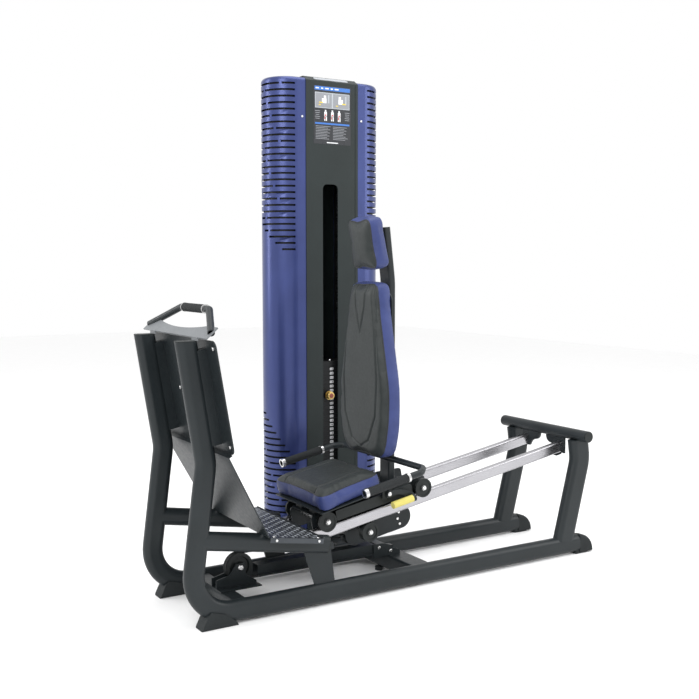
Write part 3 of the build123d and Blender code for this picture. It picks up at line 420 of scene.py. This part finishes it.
half = [(0.104, 1.192), (0.122, 1.110), (0.160, 0.940), (0.194, 0.790), (0.200, 0.700), (0.192, 0.600),
        (0.158, 0.500), (0.100, 0.475)]
back_points = [Vector((u, v)) for u, v in half] + [Vector((-u, v)) for u, v in reversed(half)]
back_points.reverse()
ex, ey, ez = Vector((0, -1, 0)), Vector((0, 0, 1)), Vector((-1, 0, 0))
back_origin = at(-30, 0, 0)
back_lines = [[Vector((s * 0.075, 1.21)), Vector((s * 0.100, 1.00)), Vector((s * 0.120, 0.80)),
               Vector((s * 0.110, 0.66)), Vector((s * 0.060, 0.56)), Vector((0, 0.53))] for s in (-1, 1)]
back_lines += [[Vector((s * 0.045, 1.21)), Vector((s * 0.030, 1.08)), Vector((0, 0.98))] for s in (-1, 1)]
pad("back_pad", rounded(back_points, 0.05), 0.070, back_origin, ex, ey, ez, "back_cushion", 0.018, back_lines,
    0.056)

ey = Vector((-math.sin(LEAN), 0, math.cos(LEAN)))
ez = Vector((-math.cos(LEAN), 0, -math.sin(LEAN)))
head_origin = at(-76.5, 0, 1327.5) - ez * 0.038
head_corners = [Vector(p) for p in ((-0.096, -0.106), (0.096, -0.106), (0.088, 0.106), (-0.088, 0.106))]
head_outline = rounded(head_corners, 0.035)
pad("head_pad", head_outline, 0.076, head_origin, ex, ey, ez, "head_cushion", 0.014, [], 0.062)


# ------------------------------------------------------------------ ribbed foam grips
def ribbed_grip(name, start, end, radius, node, body):
    length = (end - start).length
    count = int(length / 0.0012)
    points = [start + (end - start) * (i / count) for i in range(count + 1)]
    radii = []
    for i in range(count + 1):
        edge = min(i, count - i) * length / count
        rib = 0.0007 * (0.5 + 0.5 * math.cos(2 * math.pi * i * length / count / 0.0055))
        radii.append(radius - 0.0012 + rib - (0.0022 if edge < 0.0012 else 0.0))
    grip = mesh_object(name, tube_mesh(points, radii, 36), MATS["foam_grip"])
    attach(grip, body)
    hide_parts(node)


run = Vector((251, 0, 50)).normalized()
for side, label in ((-1, "left"), (1, "right")):
    begin = at(-291, side * 321, 425)
    ribbed_grip("seat_grip_" + label, begin + run * 0.0145, begin + run * 0.1895, 0.0168, "seat_grips",
                "carriage")
ribbed_grip("top_grip", at(-797, -92, 1092), at(-797, 92, 1092), 0.0162, "handle_grip", "frame")


# ------------------------------------------------------------------ cable strands that change length
def strand(name, start, end, node):
    points = [start + (end - start) * (i / 60) for i in range(61)]
    piece = mesh_object(name, tube_mesh(points, [0.003] * 61, 12), MATS["cable_black"])
    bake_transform(piece)
    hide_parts(node)


sled_c = Vector((math.cos(math.atan(0.1785)), 0, math.sin(math.atan(0.1785))))
clevis = at(70, 0, 228) - sled_c * 0.280
clevis.y = at(0, -8, 0).y
top_of_pulley = at(-645, -8, 183)
strand("sled_cable", top_of_pulley, clevis, "sled_strand")
stack_low, stack_high = at(STACK_X, STACK_Y, STACK_LOW), at(STACK_X, STACK_Y, PULLEY_TOP)
strand("stack_cable", stack_high, stack_low, "stack_strand")


# ------------------------------------------------------------------ diamond tread on the step
def tread():
    bm = bmesh.new()
    front, rear = at(-640, 0, 303), at(-428, 0, 269)
    along = (rear - front).normalized()
    across = Vector((0, 1, 0))
    up = along.cross(across) * -1
    if up.z < 0:
        up = -up
    run_length = (rear - front).length
    pitch = 0.021
    rows = int(run_length / pitch)
    columns = int(0.53 / pitch)
    for i in range(rows):
        for j in range(columns):
            centre = front + along * (0.012 + i * pitch) + across * (-0.258 + (j + 0.5) * pitch)
            if i in (0, rows - 1) and j in (0, columns - 1):
                continue
            turn = math.radians(45 if (i + j) % 2 else -45)
            u = along * math.cos(turn) + across * math.sin(turn)
            v = up.cross(u)
            ring = [centre + u * 0.0105, centre + v * 0.0028, centre - u * 0.0105, centre - v * 0.0028]
            low = [bm.verts.new(p + up * 0.0001) for p in ring]
            high = [bm.verts.new(centre + (p - centre) * 0.62 + up * 0.0016) for p in ring]
            for k in range(4):
                n = (k + 1) % 4
                bm.faces.new((low[k], low[n], high[n], high[k]))
            bm.faces.new(high)
            bm.faces.new(low[::-1])
    piece = mesh_object("step_tread", bm, MATS["tread_raised"], smooth=False)
    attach(piece, "frame")


MATS["tread_raised"] = finish_material("tread_raised", (0.30, 0.32, 0.35), 0.27, 0.85, 0.3, 260, 0.1)
tread()


# ------------------------------------------------------------------ weight labels, pin head
def flat_material(name, colour, rough=0.4):
    return finish_material(name, colour, rough, 0.0, 0.05, 500, 0.02)


WHITE = flat_material("print_white", (0.72, 0.73, 0.75))
BLUE = flat_material("print_blue", (0.05, 0.16, 0.48))
YELLOW = flat_material("print_yellow", (0.70, 0.52, 0.06))
RED = flat_material("print_red", (0.52, 0.05, 0.04))
GREY = flat_material("print_grey", (0.25, 0.26, 0.28))
PALE = flat_material("print_pale", (0.40, 0.43, 0.46))


def front_slab(bm, x, y, z, wide, tall, thick):
    """A thin plate facing -Y, given by its middle in the bench's millimetres."""
    corner = at(x - wide / 2, y, z - tall / 2)
    slab(bm, corner, Vector((wide / 1000, 0, 0)), Vector((0, 0, tall / 1000)), thick / 1000)


def labels():
    for body, first, last in (("weight_stack", 0, LIFTED), ("frame", LIFTED, PLATES)):
        bm = bmesh.new()
        ink = bmesh.new()
        for k in range(first, last):
            z = PLATE_TOP - PLATE_PITCH * k - PLATE_MIDDLE
            front_slab(bm, 54, STACK_FRONT, z, 17, 11, 0.6)
            for bar in range(2):
                front_slab(ink, 50.5 + 7 * bar, STACK_FRONT - 0.6, z, 3.4 if (k + bar) % 3 else 2.0, 6.5, 0.2)
        for mesh, material, tag in ((bm, WHITE, "label"), (ink, MATS["stack_black"], "figures")):
            piece = mesh_object(f"stack_{tag}_{body}", mesh, material, smooth=False)
            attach(piece, body)


labels()


def disc(bm, centre, radius, depth, sides=48, dish=0.0):
    """A turned button that faces -Y."""
    profile = [(0.0, dish), (radius * 0.72, dish * 0.6), (radius * 0.9, 0.0), (radius, depth * 0.35),
               (radius, depth)]
    rings = []
    for r, d in profile[1:]:
        ring = [bm.verts.new(centre + Vector((r * math.cos(2 * math.pi * k / sides), d,
                                              r * math.sin(2 * math.pi * k / sides)))) for k in range(sides)]
        rings.append(ring)
    hub = bm.verts.new(centre + Vector((0, profile[0][1], 0)))
    for k in range(sides):
        n = (k + 1) % sides
        bm.faces.new((hub, rings[0][k], rings[0][n]))
        for a, b in zip(rings, rings[1:]):
            bm.faces.new((a[k], a[n], b[n], b[k]))
    bm.faces.new(rings[-1])


bm = bmesh.new()
pin_z = PLATE_TOP - PLATE_PITCH * (LIFTED - 1) - PLATE_MIDDLE
disc(bm, at(STACK_X, PIN_FRONT, pin_z), 0.0105, 0.0016, dish=-0.001)
button = mesh_object("pin_button", bm, flat_material("pin_centre", (0.24, 0.07, 0.05)))
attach(button, "selector")


# ------------------------------------------------------------------ placard
def placard():
    y = PANEL_FRONT - 3.0
    sheets = {"blue": (bmesh.new(), BLUE), "white": (bmesh.new(), WHITE), "grey": (bmesh.new(), GREY),
              "yellow": (bmesh.new(), YELLOW), "red": (bmesh.new(), RED), "pale": (bmesh.new(), PALE)}

    def mark(kind, x, z, wide, tall, lift=0.3):
        front_slab(sheets[kind][0], x, y - lift + 0.3, z, wide, tall, 0.25)

    left, right, top = -49.5, 136.5, 2007.5
    mark("blue", (left + right) / 2, top - 12, 176, 16)
    for k, wide in enumerate((20, 12, 22, 14, 24)):
        mark("white", left + 18 + 24 * k, top - 12, wide * 0.8, 5, 0.6)
    mark("pale", (left + right) / 2, top - 62, 172, 66)
    for s in (-1, 1):
        middle = (left + right) / 2 + s * 43
        mark("grey", middle, top - 62, 80, 60, 0.6)
        mark("white", middle - 6 * s, top - 48, 11, 12, 0.9)
        mark("white", middle - 2 * s, top - 64, 22, 20, 0.9)
        mark("yellow", middle + 14 * s, top - 72, 18, 5, 1.1)
        mark("yellow", middle - 20, top - 82, 10, 4, 1.1)
        mark("pale", middle + 24, top - 56, 6, 34, 0.9)
    for k in range(3):
        x = (left + right) / 2 + (k - 1) * 34
        mark("white", x, top - 120, 13, 20)
        mark("white", x, top - 106, 7, 8)
        mark("white", x - 4, top - 138, 5, 20)
        mark("white", x + 4, top - 138, 5, 20)
        mark("red", x, top - 124, 7, 6, 0.6)
        mark("red", x - 4, top - 136, 3.6, 10, 0.6)
    for s in (-1, 1):
        for k in range(5):
            mark("grey", (left + right) / 2 + s * 74, top - 108 - 8 * k, 24 - 3 * (k % 3), 2.4)
    mark("blue", (left + right) / 2, top - 160, 172, 7)
    for row in range(9):
        for column in range(2):
            wide = 74 - (row * 13 + column * 29) % 24
            mark("grey", left + 10 + wide / 2 + column * 86, top - 172 - 6.6 * row, wide, 2.2)
    mark("white", (left + right) / 2, top - 240, 56, 4)
    for name, (bm, material) in sheets.items():
        piece = mesh_object("placard_" + name, bm, material, smooth=False)
        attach(piece, "frame")


placard()


def painted_shade_sheet(side):
    """A dark sheet of painted shade behind the louvres of one end, standing in for the shade inside the
    tower, so that no light shows through the slots.
    """
    centre = TOWER_AT[0] + side * TOWER_STRAIGHT
    edge = PAINTED_SHADE_ENDS[0] if side < 0 else PAINTED_SHADE_ENDS[1]
    bm = bmesh.new()
    rings = []
    for radius in (TOWER_RADIUS - PAINTED_SHADE_INSET, TOWER_RADIUS - PAINTED_SHADE_INSET - PAINTED_SHADE_T):
        plan = [(edge, -radius)]
        plan += [(centre + side * radius * math.sin(math.pi * k / 24), -radius * math.cos(math.pi * k / 24))
                 for k in range(25)]
        plan.append((edge, radius))
        for z in (0.028, 2.012):
            rings.append([bm.verts.new((x, TOWER_AT[1] + y, z)) for x, y in plan])
    low_out, high_out, low_in, high_in = rings
    for first, second in ((low_out, high_out), (high_out, high_in), (high_in, low_in), (low_in, low_out)):
        for a, b, c, d in zip(first, first[1:], second[1:], second):
            bm.faces.new((a, b, c, d))
    for k in (0, -1):
        bm.faces.new((low_out[k], high_out[k], high_in[k], low_in[k]))
    sheet = mesh_object("painted_shade_sheet_left" if side < 0 else "painted_shade_sheet_right", bm, MATS["stack_black"], smooth=False)
    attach(sheet, "frame")


# painted shade: a dark sheet inside each end of the tower
for end in (-1, 1):
    painted_shade_sheet(end)


def toe_lip():
    """The toe panel's folded upper edge, which meets the foot plate's lower edge from behind."""
    foot_low = at(-794.0, 0, 612.0)
    toe_high = at(-806.0, 0, 605.0)
    bm = bmesh.new()
    ends = []
    for y in (-0.296, 0.296):
        ring = []
        for base, drop in ((foot_low, 0.0), (foot_low, -0.003), (toe_high, -0.003), (toe_high, 0.0)):
            ring.append(bm.verts.new((base.x, base.y + y, base.z + drop)))
        ends.append(ring)
    for k in range(4):
        bm.faces.new((ends[0][k], ends[0][k - 1], ends[1][k - 1], ends[1][k]))
    bm.faces.new(ends[0])
    bm.faces.new(list(reversed(ends[1])))
    piece = mesh_object("toe_lip", bm, MATS["frame_paint"], smooth=False)
    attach(piece, "frame")


toe_lip()


# ------------------------------------------------------------------ floor, lights, camera
def stage():
    bm = bmesh.new()
    bm.faces.new([bm.verts.new((x, y, -0.0005)) for x, y in ((-9, -9), (9, -9), (9, 14), (-9, 14))])
    paint = finish_material("floor_paint", (0.955, 0.955, 0.955), 0.75, 0.0, 0.01, 40, 0.0)
    floor = mesh_object("floor", bm, paint)
    world = bpy.data.worlds.new("studio")
    bpy.context.scene.world = world
    world.use_nodes = True
    world.node_tree.nodes["Background"].inputs["Color"].default_value = (1, 1, 1, 1)
    world.node_tree.nodes["Background"].inputs["Strength"].default_value = 1.0
    lamps = [((-3.2, -2.8, 3.4), (0.0, 0.0, 0.8), 2.2, 3.0, 110),
             ((3.4, -2.6, 2.6), (0.1, 0.1, 0.9), 1.6, 3.2, 60),
             ((-3.4, 2.2, 2.4), (0.0, 0.3, 1.0), 0.8, 3.0, 50),
             ((0.4, -0.4, 4.4), (0.0, 0.0, 0.4), 3.0, 3.0, 70)]
    for i, (place, target, wide, tall, power) in enumerate(lamps):
        data = bpy.data.lights.new(f"lamp_{i}", "AREA")
        data.shape = "RECTANGLE"
        data.size, data.size_y, data.energy = wide, tall, power
        lamp = bpy.data.objects.new(f"lamp_{i}", data)
        bpy.context.collection.objects.link(lamp)
        lamp.location = place
        lamp.rotation_euler = (Vector(target) - Vector(place)).to_track_quat("-Z", "Y").to_euler()


stage()
camera = bpy.data.objects.new("camera", bpy.data.cameras.new("camera"))
bpy.context.collection.objects.link(camera)
camera.location = (-2.160, -3.4505, 1.250)
camera.rotation_euler = Vector((0.5193, 0.8501, -0.0868)).to_track_quat("-Z", "Y").to_euler()
camera.data.lens = 51.04
camera.data.sensor_width = 36.0
camera.data.clip_end = 60.0
bpy.context.scene.view_settings.view_transform = "Standard"
bpy.context.scene.camera = camera
